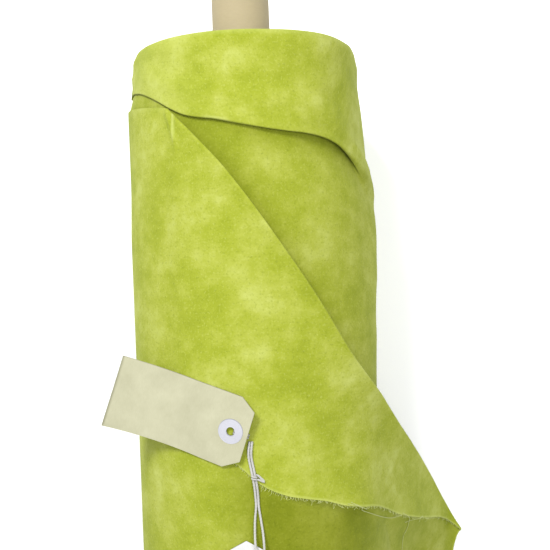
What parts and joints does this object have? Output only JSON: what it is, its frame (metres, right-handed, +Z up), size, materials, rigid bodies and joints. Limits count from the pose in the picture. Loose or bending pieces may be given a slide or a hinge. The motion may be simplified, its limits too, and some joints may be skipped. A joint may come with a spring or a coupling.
{
  "type": "roll of fabric",
  "caption": "Bolt of mottled cotton cloth wound on a cardboard tube, its loose end draped to one side with a turned-down corner and string tags.",
  "frame": {"origin": "middle of the cardboard tube's bore, halfway along its length", "axes": "+Y along the tube towards the end with the turned-down corner, +Z up from the face that the roll rests on, +X towards the side where the loose end drapes"},
  "size_m": [0.2638, 1.51, 0.1767],
  "materials": {
    "tube_board": "raw paperboard",
    "tube_face": "calendered kraft paper",
    "tape": "matt",
    "cloth": "mottled print on plain-weave cotton",
    "cloth_back": "mottled print on plain-weave cotton, lighter",
    "manila": "matt manila card",
    "patch": "matt",
    "white_card": "matt card",
    "string": "soft cotton twine"
  },
  "bodies": {
    "roll": {"core_liner": "tube_board", "core_board": "tube_board", "core_wrap": "tube_face", "start_tape": "tape", "wound_cloth": "cloth", "loose_turn": "cloth", "pleated_edge": "cloth", "last_turn": "cloth"},
    "free_end": {"free_end": "cloth", "corner_fold": "cloth_back"},
    "turned_corner": {"turned_corner": "cloth_back", "string_strand_a": "string", "string_strand_b": "string", "string_knot": "string"},
    "stock_tag": {"stock_tag": "manila", "stock_tag_patch_top": "patch", "stock_tag_patch_back": "patch", "stock_tag_loop": "string"},
    "price_tag": {"price_tag": "white_card", "price_tag_patch_top": "patch", "price_tag_patch_back": "patch"}
  },
  "joints": [
    {"name": "free_end_lift", "type": "hinge", "parent": "roll", "child": "free_end", "pos_m": [-0.08039, 0, 0.02328], "axis": [0, -1, 0], "range_deg": [0, 90]},
    {"name": "corner_peel", "type": "hinge", "parent": "free_end", "child": "turned_corner", "pos_m": [0.05, 0.39, 0.088], "axis": [-0.375, 0.927, 0], "range_deg": [0, 60]},
    {"name": "stock_tag_lift", "type": "hinge", "parent": "turned_corner", "child": "stock_tag", "pos_m": [-0.00181, 0.44005, 0.0884], "axis": [0.3256, 0.9455, 0], "range_deg": [0, 100]},
    {"name": "price_tag_swivel", "type": "hinge", "parent": "free_end", "child": "price_tag", "pos_m": [0.00258, 0.3572, 0.08856], "axis": [-0.1908, 0, 0.9816], "range_deg": [-25, 25]}
  ]
}
